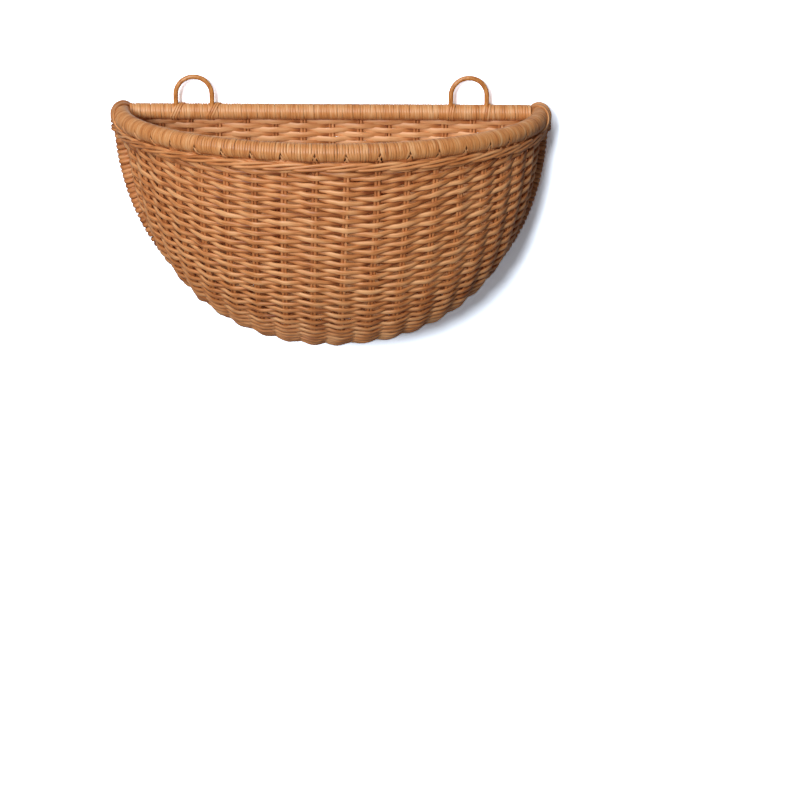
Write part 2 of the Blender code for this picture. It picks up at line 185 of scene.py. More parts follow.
class BasketColours(PropertyGroup):
    weaver_dark: colour("Weaver, dark", "Darkest core strands", "#8C4820")
    weaver_middle: colour("Weaver, middle", "Most of the core strands", "#D0864C")
    weaver_light: colour("Weaver, light", "Palest core strands", "#EFB27A")
    peel_dark: colour("Peel, dark", "Darkest peel turns", "#AE6633")
    peel_middle: colour("Peel, middle", "Most of the peel", "#DA9254")
    peel_light: colour("Peel, light", "Palest peel turns", "#F0BC86")
    cane_dark: colour("Cane, dark", "Darker streaks of the rings' cane", "#B06A30")
    cane_middle: colour("Cane, middle", "Most of the rings' cane", "#D08A48")
    cane_light: colour("Cane, light", "Paler streaks of the rings' cane", "#E4A566")
    # The poles' two colours are painted shade, which shows only between the turns of peel.
    pole_painted_shade_dark: colour("Pole, dark", "Skin of the poles under their binding", "#6A3E20")
    pole_painted_shade_pale: colour("Pole, light", "Worn skin of the poles", "#8F5A32")
    wall: colour("Wall", "What the wall and floor throw back on the basket", "#989898")
    wall_seen: colour("Wall, seen", "A third of what the view sees of the washed-out wall", "#E4F0FF")


class BasketStage(PropertyGroup):
    lens: FloatProperty(name="Lens", description="Focal length", default=111.14, unit="CAMERA")
    key_power: FloatProperty(
        name="Key lamp", description="Power of the lamp far on the left", default=216, unit="POWER"
    )
    top_power: FloatProperty(
        name="Top lamp", description="Power of the soft lamp overhead", default=26, unit="POWER"
    )
    fill_power: FloatProperty(
        name="Fill lamp", description="Power of the lamp on the right", default=0.6, unit="POWER"
    )
    rear_power: FloatProperty(
        name="Rear lamp", description="Power of the lamp behind the wall", default=6, unit="POWER"
    )
    sky: FloatProperty(name="Sky", description="Strength of the even light all round", default=0.03)


# Shape of the woven wall.


def unit(vectors):
    return vectors / np.linalg.norm(vectors, axis=-1, keepdims=True)


def oval(turn, power):
    """Where a unit oval of this power lies at a turn: 2 is a circle, more is squarer."""
    level, steep = np.cos(turn), np.sin(turn)
    reach = (np.abs(level) ** power + np.abs(steep) ** power) ** (-1 / power)
    return level * reach, steep * reach


def other_share(share, power):
    """How far a unit oval of this power reaches one way, where it reaches the share the other."""
    return (1 - np.clip(share, 0, 1) ** power) ** (1 / power)


def hoop_fullness(side):
    """The power of the hoops' oval, which grows from the left side to the right one."""
    return HOOP_FULLNESS + RIGHT_FULLNESS * (1 + np.tanh(3 * side)) / 2


def stake_depth(across):
    """How far below the rim the wall ends at an across turn."""
    power = hoop_fullness(np.sin(across))
    aside = other_share(SIDE_DROP_SHARE, power) * np.abs(np.sin(across))
    return BOWL_HEIGHT * other_share(aside, power)


def drawn_in(side, forward, drop):
    """The share by which the wall is drawn in near the hoops, below the rim."""
    near = np.clip(1 - (forward / EDGE_RUN) ** 2, 0, 1)
    below = np.clip((drop - INSET_START) / (INSET_FULL - INSET_START), 0, 1)
    share = 1 - (1 - RIGHT_INSET_SHARE) * (1 + np.tanh(3 * side)) / 2
    return EDGE_INSET / RIM_HALF_WIDTH * share * near * below


def bowl_place(across, down):
    """Points of the bowl's middle surface, from the left hoop to the right one."""
    reach_share, depth_share = oval(down, FRONT_FULLNESS)
    side = np.sin(across)
    narrowing = other_share(SIDE_DROP_SHARE * np.abs(depth_share), hoop_fullness(side))
    forward = RIM_REACH * np.cos(across) * reach_share
    drop = stake_depth(across) * depth_share
    left = 1 - drawn_in(side, forward, drop)
    x = RIM_HALF_WIDTH * side * narrowing * left
    return np.stack(np.broadcast_arrays(x, RAIL_Y - forward, RIM_Z - drop * left), axis=-1)


def bowl_outwards(across, down):
    """The outward direction of the middle surface."""
    step = 0.002
    sideways = bowl_place(across + step, down) - bowl_place(across - step, down)
    downwards = bowl_place(across, down + step) - bowl_place(across, down - step)
    return unit(np.cross(downwards, sideways))


def turn_for_reach(reach_share):
    return np.arctan2(other_share(reach_share, FRONT_FULLNESS), reach_share)


def turn_below_rim(across, drop):
    """The down turn at which the wall is this far below the rim's centreline."""
    depth_share = np.clip(drop / stake_depth(across), 0, 1)
    return np.arctan2(depth_share, other_share(depth_share, FRONT_FULLNESS))


def across_at_edge(down):
    """The across turn at which the wall reaches the hoops, at this down turn."""
    reach_share, _ = oval(down, FRONT_FULLNESS)
    return np.arccos(np.clip(EDGE_SHARE / np.maximum(reach_share, EDGE_SHARE), 0, 1))


def down_at_edge(across):
    """The down turn at which the wall reaches the hoops, at this across turn."""
    return turn_for_reach(EDGE_SHARE / np.cos(across))


CORNER_DOWN = float(down_at_edge(CORNER_ACROSS))
TOP_AT_SIDE = float(turn_below_rim(QUARTER_TURN, WALL_TOP_DROP))
EDGE_ACROSS = float(across_at_edge(0.0))


def stake_turns(share, fall):
    """The two turns of a spot on a stake, whose share runs from -1 at the left to 1."""
    share = share - STAKE_SWAY * fall * (1 - share**2)
    across = share * across_at_edge(TOP_AT_SIDE + fall * (CORNER_DOWN - TOP_AT_SIDE))
    top = turn_below_rim(across, WALL_TOP_DROP)
    return across, top + fall * (down_at_edge(share * CORNER_ACROSS) - top)


def stake_phase(across, down):
    """How many stakes from the middle a spot of the wall is: stakes stand at the halves."""
    share = across / EDGE_ACROSS
    for _ in range(3):
        top = turn_below_rim(across, WALL_TOP_DROP)
        foot = down_at_edge(np.clip(share, -1, 1) * CORNER_ACROSS)
        fall = np.clip((down - top) / (foot - top), 0, 1)
        share = across / across_at_edge(TOP_AT_SIDE + fall * (CORNER_DOWN - TOP_AT_SIDE))
    share = share + STAKE_SWAY * fall * (1 - share**2)
    return share * EDGE_ACROSS / STAKE_STEP


def hoop_place(turn):
    """Points of the hoops' centreline: 0 at the bottom, 90 degrees at the rim's ends."""
    depth_share, aside_share = oval(turn, hoop_fullness(np.sin(turn)))
    x = (RIM_HALF_WIDTH + HOOP_PROUD) * aside_share
    z = RIM_Z - (BOWL_HEIGHT + HOOP_PROUD) * depth_share
    return np.stack(np.broadcast_arrays(x, HOOP_Y - HOOP_PROUD, z), axis=-1)


# Strands.

STRAND_STEP = 0.0021
PLAIN_TONE = 0.5


def drift(rng, along, longest=0.09, waves=5):
    """Smooth irregularity of about 1 either way along a strand, as a hand leaves it."""
    total = np.zeros_like(along)
    for i in range(waves):
        length = longest / 1.7**i
        total += np.sin(2 * math.pi * along / length + rng.uniform(0, 2 * math.pi))
    return total / math.sqrt(waves)


def lengths(path):
    """How far along a path each of its points is."""
    return np.concatenate([[0], np.cumsum(np.linalg.norm(np.diff(path, axis=0), axis=1))])


def strand(path, outwards, width, thickness, tone=PLAIN_TONE, sides=8, roundness=0.8):
    """One closed strand along a path, its flat side outwards."""
    path = np.asarray(path, float)
    count = len(path)
    outwards = np.broadcast_to(outwards, path.shape)
    width = np.broadcast_to(width, count)
    thickness = np.broadcast_to(thickness, count)
    along = lengths(path)
    forwards = unit(np.gradient(path, axis=0))
    aside = unit(np.cross(forwards, outwards))
    rise = np.cross(aside, forwards)
    turn = (np.arange(sides) + 0.5) * 2 * math.pi / sides
    flat = np.sign(np.cos(turn)) * np.abs(np.cos(turn)) ** roundness / 2
    tall = np.sign(np.sin(turn)) * np.abs(np.sin(turn)) ** roundness / 2
    spots = (
        path[:, None]
        + aside[:, None] * (width[:, None] * flat)[..., None]
        + rise[:, None] * (thickness[:, None] * tall)[..., None]
    )
    ring = np.arange(count - 1)[:, None] * sides
    here = np.arange(sides)[None]
    onward = (here + 1) % sides
    faces = np.stack([ring + here, ring + sides + here, ring + sides + onward, ring + onward], -1)
    girth = 1.7 * float(np.mean(width + thickness)) / sides
    u = np.broadcast_to(along[:-1, None], (count - 1, sides))
    u_next = np.broadcast_to(along[1:, None], (count - 1, sides))
    v = np.broadcast_to(here * girth, (count - 1, sides))
    measures = np.stack([u, v, u_next, v, u_next, v + girth, u, v + girth], -1)
    return {
        "spots": spots.reshape(-1, 3),
        "faces": faces.reshape(-1, 4),
        "measures": measures.reshape(-1, 2),
        "tone": np.repeat(np.broadcast_to(tone, count), sides),
        "ends": [list(range(sides)), list(range(count * sides - 1, (count - 1) * sides - 1, -1))],
    }


def weave_mesh(name, strands, seed):
    """All the strands as one mesh, with a UV map in metres and a tone for each strand."""
    rng = np.random.default_rng(seed)
    spots, faces, ends, measures, end_measures, tones = [], [], [], [], [], []
    first = 0
    for each in strands:
        shift = rng.uniform(0, 9, 2)
        spots.append(each["spots"])
        faces.append(each["faces"] + first)
        measures.append(each["measures"] + shift)
        for end in each["ends"]:
            ends.append([corner + first for corner in end])
            end_measures.append(np.broadcast_to(shift, (len(end), 2)))
        tones.append(each["tone"])
        first += len(each["spots"])
    mesh = bpy.data.meshes.new(name)
    all_faces = np.concatenate(faces).tolist() + ends
    mesh.from_pydata(np.concatenate(spots).tolist(), [], all_faces)
    chart = mesh.uv_layers.new(name="strand")
    chart.data.foreach_set("uv", np.concatenate(measures + end_measures).ravel())
    tone = mesh.attributes.new("tone", "FLOAT", "POINT")
    tone.data.foreach_set("value", np.concatenate(tones))
    mesh.update()
    return mesh


def select_only(piece):
    bpy.ops.object.select_all(action="DESELECT")
    piece.select_set(True)
    bpy.context.view_layer.objects.active = piece


def finish_piece(piece, material, slot, *nodes):
    """Gives a piece its finish and its place on the frame."""
    select_only(piece)
    bpy.ops.object.shade_smooth_by_angle(angle=math.radians(60))
    piece.data.materials.clear()
    piece.data.materials.append(material)
    if nodes:
        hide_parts(*nodes)
    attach(piece, "root")
    return piece


def strand_piece(name, strands, seed, material, slot, *nodes):
    piece = bpy.data.objects.new(name, weave_mesh(name, strands, seed))
    bpy.context.scene.collection.objects.link(piece)
    return finish_piece(piece, material, slot, *nodes)


def coil(
    centre_path, level, radius, width, thickness, pitch, seed, parting=None, steps=20, unevenness=0.06
):
    """A strip wound round a path in close turns, which lie as unevenly as by hand."""
    rng = np.random.default_rng(seed)
    centre_along = lengths(centre_path)
    whole = centre_along[-1]
    turns = whole / pitch
    turn = np.linspace(0, turns, int(turns * steps) + 1)
    angle = 2 * math.pi * turn
    along = turn * pitch
    along = along + unevenness * pitch * drift(rng, turn, 3.7, 4)
    if parting is not None:
        along = along + parting(turn, angle, pitch)
    along = np.clip(along, 0, whole)
    centre = np.stack([np.interp(along, centre_along, centre_path[:, i]) for i in range(3)], -1)
    ways = unit(np.gradient(centre_path, centre_along, axis=0))
    way = unit(np.stack([np.interp(along, centre_along, ways[:, i]) for i in range(3)], -1))
    level = np.broadcast_to(level, centre.shape)
    aside = np.cross(way, level)
    outwards = level * np.cos(angle)[:, None] + aside * np.sin(angle)[:, None]
    lift = radius + unevenness * thickness * drift(rng, turn, 2.3, 4)
    each_turn = rng.normal(PLAIN_TONE, 0.09, int(turns) + 3)
    tone = np.interp(turn, np.arange(len(each_turn)), each_turn)
    wide = width * (1 + 0.05 * drift(rng, turn, 2.9, 3))
    return strand(centre + outwards * lift[:, None], outwards, wide, thickness, tone, sides=6)


# Finishes.


def add_node(tree, kind, settings=None, inputs=None):
    """Adds a node with its settings; an input is a value, or a socket to link from."""
    made = tree.nodes.new(kind)
    for key, value in (settings or {}).items():
        setattr(made, key, value)
    for key, value in (inputs or {}).items():
        if isinstance(value, bpy.types.NodeSocket):
            tree.links.new(value, made.inputs[key])
        else:
            made.inputs[key].default_value = value
    return made


def blank_finish(name):
    """A new material and its empty tree of nodes."""
    made = bpy.data.materials.new(name)
    made.use_nodes = True
    made.node_tree.nodes.clear()
    return made, made.node_tree


def end_finish(tree, height, strength, depth, inputs):
    """Ends a finish: relief from a height, then the shader with its inputs, and the output."""
    bump = add_node(
        tree,
        "ShaderNodeBump",
        inputs={"Height": height, "Strength": strength, "Distance": depth},
    ).outputs["Normal"]
    shader = add_node(tree, "ShaderNodeBsdfPrincipled", inputs={"Normal": bump, **inputs})
    add_node(tree, "ShaderNodeOutputMaterial", inputs={"Surface": shader.outputs["BSDF"]})


def rattan(name, colours, fibre_length, fibre_width, patch, roughness, coat, relief):
    """Rattan whose fibres run along each strand, with tones that differ from strand to strand."""
    made, tree = blank_finish(name)
    chart = add_node(tree, "ShaderNodeUVMap", {"uv_map": "strand"}).outputs["UV"]
    grain = add_node(
        tree,
        "ShaderNodeMapping",
        inputs={"Vector": chart, "Scale": (1 / fibre_length, 1 / fibre_width, 1)},
    ).outputs["Vector"]
    fibres = add_node(
        tree,
        "ShaderNodeTexNoise",
        {"noise_dimensions": "2D"},
        {"Vector": grain, "Scale": 1, "Detail": 3, "Roughness": 0.6},
    ).outputs["Fac"]
    spread = add_node(
        tree,
        "ShaderNodeMapping",
        inputs={"Vector": chart, "Scale": (1 / patch, 3 / patch, 1)},
    ).outputs["Vector"]
    patches = add_node(
        tree,
        "ShaderNodeTexNoise",
        {"noise_dimensions": "2D"},
        {"Vector": spread, "Scale": 1, "Detail": 2, "Roughness": 0.5},
    ).outputs["Fac"]
    # A strand's tone holds its own random tone and, on the weavers and the rail's turns, painted
    # light and shade.
    tone = add_node(tree, "ShaderNodeAttribute", {"attribute_name": "tone"}).outputs["Fac"]
    streaked = add_node(
        tree,
        "ShaderNodeMath",
        {"operation": "MULTIPLY_ADD"},
        {0: fibres, 1: FIBRE_SHARE, 2: tone},
    ).outputs[0]
    mottled = add_node(
        tree,
        "ShaderNodeMath",
        {"operation": "MULTIPLY_ADD"},
        {0: patches, 1: PATCH_SHARE, 2: streaked},
    ).outputs[0]
    # Both noises lie round a half, so half of their shares is taken off again.
    excess = (FIBRE_SHARE + PATCH_SHARE) / 2
    centred = add_node(
        tree, "ShaderNodeMath", {"operation": "SUBTRACT"}, {0: mottled, 1: excess}
    ).outputs[0]
    ramp = add_node(tree, "ShaderNodeValToRGB", inputs={"Fac": centred})
    stops = ramp.color_ramp.elements
    dark, middle, light = colours
    stops[0].position = 0.12
    stops[0].color = (*dark, 1)
    stops[1].position = 0.88
    stops[1].color = (*light, 1)
    stops.new(0.5).color = (*middle, 1)
    gloss = add_node(
        tree,
        "ShaderNodeMapRange",
        inputs={"Value": fibres, "To Min": roughness - 0.07, "To Max": roughness + 0.09},
    ).outputs["Result"]
    sheen = {"Roughness": gloss, "IOR": 1.5, "Coat Weight": coat, "Coat Roughness": 0.3}
    end_finish(tree, fibres, 0.5, relief, {"Base Color": ramp.outputs["Color"], **sheen})
    return made


def core_finish():
    """Rattan core, split from the cane and pulled through a die, with no skin."""
    # The eye sees a dull strand with long pale and dark streaks. Real fibres are about 0.4 mm
    # wide, which is too fine to show here, so they are drawn 0.9 mm wide.
    tints = bpy.context.scene.basket_colours
    found = bpy.data.materials.get("rattan core, drawn")
    return found or rattan(
        "rattan core, drawn",
        (tints.weaver_dark, tints.weaver_middle, tints.weaver_light),
        fibre_length=0.014,
        fibre_width=0.0009,
        patch=0.035,
        roughness=0.5,
        coat=0.08,
        relief=0.00022,
    )


def peel_finish():
    """Rattan peel, split from the cane with its skin on."""
    # The skin gives a smooth strip with a soft gloss, and turns that differ a little in tone.
    # Its fibres too are drawn wider than the real 0.3 mm, so that they show.
    tints = bpy.context.scene.basket_colours
    found = bpy.data.materials.get("rattan peel, wound")
    return found or rattan(
        "rattan peel, wound",
        (tints.peel_dark, tints.peel_middle, tints.peel_light),
        fibre_length=0.010,
        fibre_width=0.0007,
        patch=0.022,
        roughness=0.42,
        coat=0.12,
        relief=0.00012,
    )


# Operators, one for each kind of piece.


def row_levels(pitch, tilt):
    """Levels of the rows' planes and the step between them, at even places down the middle."""
    down = np.linspace(0, float(down_at_edge(0.0)), 3000)
    middle = bowl_place(0.0, down)
    along = lengths(middle)
    first = float(np.interp(float(turn_below_rim(0.0, FIRST_ROW_DROP)), down, along))
    stops = np.arange(first, along[-1] - 0.001, pitch)
    heights = RIM_Z - middle[:, 2] - tilt * (RAIL_Y - middle[:, 1])
    levels = np.interp(stops, along, heights)
    return levels, np.gradient(levels)


def front_rows(pitch, tilt):
    """Turns, places and spacing of each row that lies in a plane rising to the wall."""
    across = np.linspace(-1, 1, 1801) * (EDGE_ACROSS - 1e-4)
    down = np.linspace(0, QUARTER_TURN - 1e-4, 900)
    grid = bowl_place(across[:, None], down[None])
    drops = RIM_Z - grid[..., 2]
    aside = grid[..., 0] / ROW_SAG_REACH
    sag = ROW_SAG * aside * np.exp((1 - aside**2) / 2) * np.clip(drops / ROW_SAG_DEPTH, 0, 1)
    heights = drops - tilt * (RAIL_Y - grid[..., 1]) - sag
    lowest = down_at_edge(across)
    highest = turn_below_rim(across, RIM_RADIUS * 0.7)
    rows = []
    for level, step in zip(*row_levels(pitch, tilt)):
        turns = np.array([np.interp(level, heights[i], down) for i in range(len(across))])
        kept = (level > heights[:, 0]) & (turns < lowest) & (turns > highest)
        if kept.sum() < 8:
            continue
        row_across, row_down = across[kept], turns[kept]
        path = bowl_place(row_across, row_down)
        along = lengths(path)
        even = np.linspace(0, along[-1], max(6, int(along[-1] / STRAND_STEP)))
        row_across = np.interp(even, along, row_across)
        row_down = np.interp(even, along, row_down)
        outwards = bowl_outwards(row_across, row_down)
        climb = np.array([0, tilt, -1.0])
        flat = np.linalg.norm(climb - (outwards @ climb)[:, None] * outwards, axis=1)
        rows.append((row_across, row_down, even, outwards, step / flat))
    return rows


def weave_wave(phase):
    """1 in front of every second stake and -1 behind the next, nearly straight between."""
    return np.arcsin(0.93 * np.sin(math.pi * phase)) / math.asin(0.93)


def weave_painted_light(phase, turned):
    """Painted highlight where a strand comes out from behind a stake, and painted shade where it goes
    in and while it lies behind.
    """
    wave = turned * weave_wave(phase)
    rise = np.tanh(2.5 * turned * np.cos(math.pi * phase))
    behind = ((1 - wave) / 2) ** 2
    return 0.08 * (1 + rise) * (1 - wave**2) - behind * (0.34 - 0.18 * rise)


def round_the_hoop(end, radius):
    """The last stretch of a strand: over its hoop, round the outside and behind it."""
    turn = math.atan2(end[0] / RIM_HALF_WIDTH, (RIM_Z - end[2]) / BOWL_HEIGHT)
    middle = hoop_place(turn)
    away = unit(np.array([end[0], 0, end[2] - RIM_Z]))
    front = np.array([0, -1.0, 0])
    angles = np.radians(WRAP_ANGLES)[:, None]
    ways = front * np.sin(angles) + away * np.cos(angles)
    places = middle + ways * radius
    places[:, 1] = np.minimum(places[:, 1], -WRAP_CLEARANCE)
    return places, ways


def wrap_ends(path, outwards, width, thick, tone, radius):
    """A strand's path and sizes with both of its ends laid round the hoops."""
    for side in (0, -1):
        places, ways = round_the_hoop(path[side], radius)
        end_wide = width[side] * np.linspace(0.95, 0.7, len(places))
        end_thick = thick[side] * np.linspace(1, 0.7, len(places))
        end_tone = tone[side] - np.linspace(0.05, 0.2, len(places))
        order = slice(None, None, -1) if side == 0 else slice(None)
        joined = []
        for run, more in (
            (path, places),
            (outwards, ways),
            (width, end_wide),
            (thick, end_thick),
            (tone, end_tone),
        ):
            pair = (more[order], run) if side == 0 else (run, more)
            joined.append(np.concatenate(pair))
        path, outwards, width, thick, tone = joined
    return path, outwards, width, thick, tone


def rod_pair(weave, rng, middle, way, outwards, wander, tone):
    """Two rods side by side along the middle of a stake."""
    rods = []
    for side in (-1, 1):
        aside = side * weave.stake_spread / 2 * (1 + 0.05 * drift(rng, *wander))
        path = middle + way * aside[:, None]
        shade = rng.normal(tone, 0.08)
        thick = weave.stake_diameter
        rods.append(strand(path, outwards, thick, thick, shade, sides=8, roundness=1))
    return rods


class BASKET_OT_front_weavers(Operator):
    """Rows of weavers in and out of the front stakes, which end round the hoops"""

    bl_idname = "basket.front_weavers"
    bl_label = "Front weavers"

    def execute(self, context):
        weave = context.scene.basket_weave
        rng = np.random.default_rng(11)
        strands = []
        rows = front_rows(weave.row_pitch, math.tan(weave.row_tilt))
        for i, (across, down, along, outwards, spacing) in enumerate(rows):
            phase = stake_phase(across, down)
            calm = np.clip((FRONT_STAKES / 2 + 0.3 - np.abs(phase)) / 0.6, 0, 1)
            turned = (-1) ** i * calm
            wave = turned * weave_wave(phase)
            lift = weave.weave_swing * (1 + 0.06 * drift(rng, along)) * wave
            path = bowl_place(across, down) + outwards * lift[:, None]
            path[:, 2] += ROW_WANDER * drift(rng, along, 0.07, 4)
            shares = np.interp(wave, (-1, -0.2, 0.5, 1), (0.8, 0.94, 1.04, 1.14))
            width = np.clip(spacing, weave.weaver_narrowest, weave.weaver_widest) * shares
            width = width * (1 + 0.05 * drift(rng, along, 0.05))
            thick = weave.weaver_thickness * (1 + 0.05 * drift(rng, along, 0.04, 3))
            tone = rng.normal(PLAIN_TONE + 0.06, 0.06) + 0.08 * drift(rng, along, 0.04, 3)
            tone = tone + weave_painted_light(phase, turned)
            strip = (path, outwards, width, thick, tone)
            if min(RIM_Z - path[0][2], RIM_Z - path[-1][2]) > ROW_END_DROP:
                strip = wrap_ends(*strip, HOOP_RADIUS + weave.weaver_thickness / 3)
            strands.append(strand(*strip))
        third = len(strands) // 3
        parts = (strands[:third], strands[third : 2 * third], strands[2 * third :])
        for name, part in zip(("upper", "middle", "lower"), parts):
            strand_piece(
                f"front_weavers_{name}", part, 21, core_finish(), "rattan_core", "front_weave"
            )
        return {"FINISHED"}


class BASKET_OT_back_weavers(Operator):
    """Level rows of weavers in the flat back"""

    bl_idname = "basket.back_weavers"
    bl_label = "Back weavers"

    def execute(self, context):
        weave = context.scene.basket_weave
        rng = np.random.default_rng(12)
        inset = HOOP_RADIUS * 0.6
        strands = []
        first = RAIL_RADIUS + FIRST_BACK_ROW_GAP
        drops = np.arange(first, BOWL_HEIGHT - inset - 0.003, weave.back_row_pitch)
        for i, drop in enumerate(drops):
            share = drop / (BOWL_HEIGHT - inset)
            ends = [
                side * (RIM_HALF_WIDTH - inset) * other_share(share, hoop_fullness(side))
                for side in (-1, 1)
            ]
            if ends[1] < 0.012:
                continue
            x = np.linspace(*ends, int((ends[1] - ends[0]) / STRAND_STEP))
            phase, turned = x / BACK_STAKE_PITCH + 0.5, (-1) ** i
            wave = turned * weave_wave(phase)
            y = -WALL_THICKNESS / 2 - weave.back_swing * wave
            z = RIM_Z - drop + 0.00025 * drift(rng, x)
            path = np.stack([x, y, z], -1)
            shares = np.interp(wave, (-1, -0.3, 0.6, 1), (1.5, 1.35, 1.2, 1.24))
            width = weave.back_row_pitch * shares * (1 + 0.04 * drift(rng, x, 0.05))
            # Painted light: the back's weavers, the same core as the front's, are made paler by 0.26
            # for the light inside the back.
            tone = rng.normal(PLAIN_TONE + 0.26, 0.1) + weave_painted_light(phase, turned)
            strands.append(strand(path, (0, -1.0, 0), width, weave.back_thickness, tone))
        strand_piece("back_weavers", strands, 22, core_finish(), "rattan_core", "back_weave")
        return {"FINISHED"}


class BASKET_OT_stakes(Operator):
    """Pairs of rods that the weavers pass round, in the front and in the back"""

    bl_idname = "basket.stakes"
    bl_label = "Stakes"

    def execute(self, context):
        weave = context.scene.basket_weave
        rng = np.random.default_rng(13)
        fall = np.linspace(-0.02, 1, 90)
        for i in range(FRONT_STAKES):
            share = (i + 0.5 - FRONT_STAKES / 2) * STAKE_STEP / EDGE_ACROSS
            across, down = stake_turns(share, fall)
            step = STAKE_STEP / 100
            way = unit(bowl_place(across + step, down) - bowl_place(across - step, down))
            outwards = bowl_outwards(across, down)
            middle = bowl_place(across, down)
            tone = PLAIN_TONE - 0.06
            rods = rod_pair(weave, rng, middle, way, outwards, (fall, 0.4), tone)
            strand_piece(
                f"front_stakes_{i + 1:02}",
                rods,
                100 + i,
                core_finish(),
                "rattan_stake",
                f"front_stake_pair_{i + 1:02}",
            )
        for i in range(BACK_STAKES):
            x = (i - BACK_STAKES // 2) * BACK_STAKE_PITCH
            inset = HOOP_RADIUS + FIT_GAP
            run = other_share(abs(x) / (RIM_HALF_WIDTH - inset), HOOP_FULLNESS)
            z = np.linspace(RIM_Z - RAIL_RADIUS + 0.0005, RIM_Z - (BOWL_HEIGHT - inset) * run, 40)
            middle = np.stack(np.broadcast_arrays(x, -WALL_THICKNESS / 2, z), -1)
            way, outwards = np.array([1.0, 0, 0]), (0, -1.0, 0)
            tone = PLAIN_TONE - 0.02
            rods = rod_pair(weave, rng, middle, way, outwards, (z, 0.08), tone)
            strand_piece(
                f"back_stakes_{i + 1:02}",
                rods,
                200 + i,
                core_finish(),
                "rattan_stake",
                f"back_stake_pair_{i + 1:02}",
            )
        return {"FINISHED"}


class BASKET_OT_wale(Operator):
    """Three strands laid over two stakes and behind one, close under the rim"""

    bl_idname = "basket.wale"
    bl_label = "Wale"

    def execute(self, context):
        weave = context.scene.basket_weave
        rng = np.random.default_rng(14)
        end = EDGE_ACROSS - 0.006
        across = np.linspace(-end, end, 420)
        for i in range(3):
            phase = across / STAKE_STEP + i
            cycle = np.mod(phase / 3, 1)
            in_front = cycle < WALE_FRONT_SHARE
            front = np.clip(cycle / WALE_FRONT_SHARE, 0, 1)
            back = np.clip((cycle - WALE_FRONT_SHARE) / (1 - WALE_FRONT_SHARE), 0, 1)
            climb = np.where(in_front, 2 * front - 1, 1 - 2 * back)
            climb = np.sin(climb * QUARTER_TURN)
            proud = np.where(in_front, 1, np.cos(2 * math.pi * back) * 0.5 + 0.5)
            drop = WALE_DROP - weave.wale_rise * climb
            down = turn_below_rim(across, drop)
            outwards = bowl_outwards(across, down)
            lift = WALE_INNER_LIFT + WALE_SWING * proud
            path = bowl_place(across, down) + outwards * lift[:, None]
            along = lengths(path)
            thick = weave.wale_diameter * (1 + 0.06 * drift(rng, along))
            tone = PLAIN_TONE + 0.04 + 0.1 * drift(rng, along, 0.12, 3)
            strip = (path, outwards, thick * 1.08, thick, tone)
            strip = wrap_ends(*strip, HOOP_RADIUS + weave.wale_diameter + 0.0006)
            strand_piece(
                f"wale_{i + 1}",
                [strand(*strip, sides=8, roundness=0.95)],
                30 + i,
                core_finish(),
                "rattan_core",
                f"wale_strand_{i + 1}",
            )
        return {"FINISHED"}


def rim_centre():
    """The rim's centreline, whose ends run straight back to the wall."""
    turn = np.linspace(-QUARTER_TURN, QUARTER_TURN, 1200)
    x = RIM_HALF_WIDTH * np.sin(turn)
    y = RAIL_Y - RIM_REACH * np.cos(turn)
    bend = np.stack(np.broadcast_arrays(x, y, RIM_Z), -1)
    left = np.array([[-RIM_HALF_WIDTH, -WALL_GAP, RIM_Z]])
    right = np.array([[RIM_HALF_WIDTH, -WALL_GAP, RIM_Z]])
    return np.concatenate([left, bend, right])


def notch_places():
    """How far along the rim each front stake comes up under it."""
    centre = rim_centre()
    along = lengths(centre)
    turn = np.arcsin(np.clip(centre[:, 0] / RIM_HALF_WIDTH, -1, 1))
    stakes = (np.arange(FRONT_STAKES) + 0.5 - FRONT_STAKES / 2) * STAKE_STEP
    return np.interp(stakes, turn, along)


def round_the_rim(side, along, angles, radius):
    """Places round the rim, so far along it from its left or right end: 0 is the top of it."""
    centre = rim_centre()[:: -side]
    measured = lengths(centre)
    ways = unit(np.gradient(centre, measured, axis=0))
    along, angles = np.broadcast_arrays(along, angles)
    spot = np.stack([np.interp(along, measured, centre[:, i]) for i in range(3)], -1)
    way = unit(np.stack([np.interp(along, measured, ways[:, i]) for i in range(3)], -1))
    aside = np.cross(way, (0, 0, 1.0)) * -side
    outwards = np.cos(angles)[:, None] * (0, 0, 1.0) + aside * np.sin(angles)[:, None]
    return spot + outwards * np.broadcast_to(radius, len(spot))[:, None], outwards


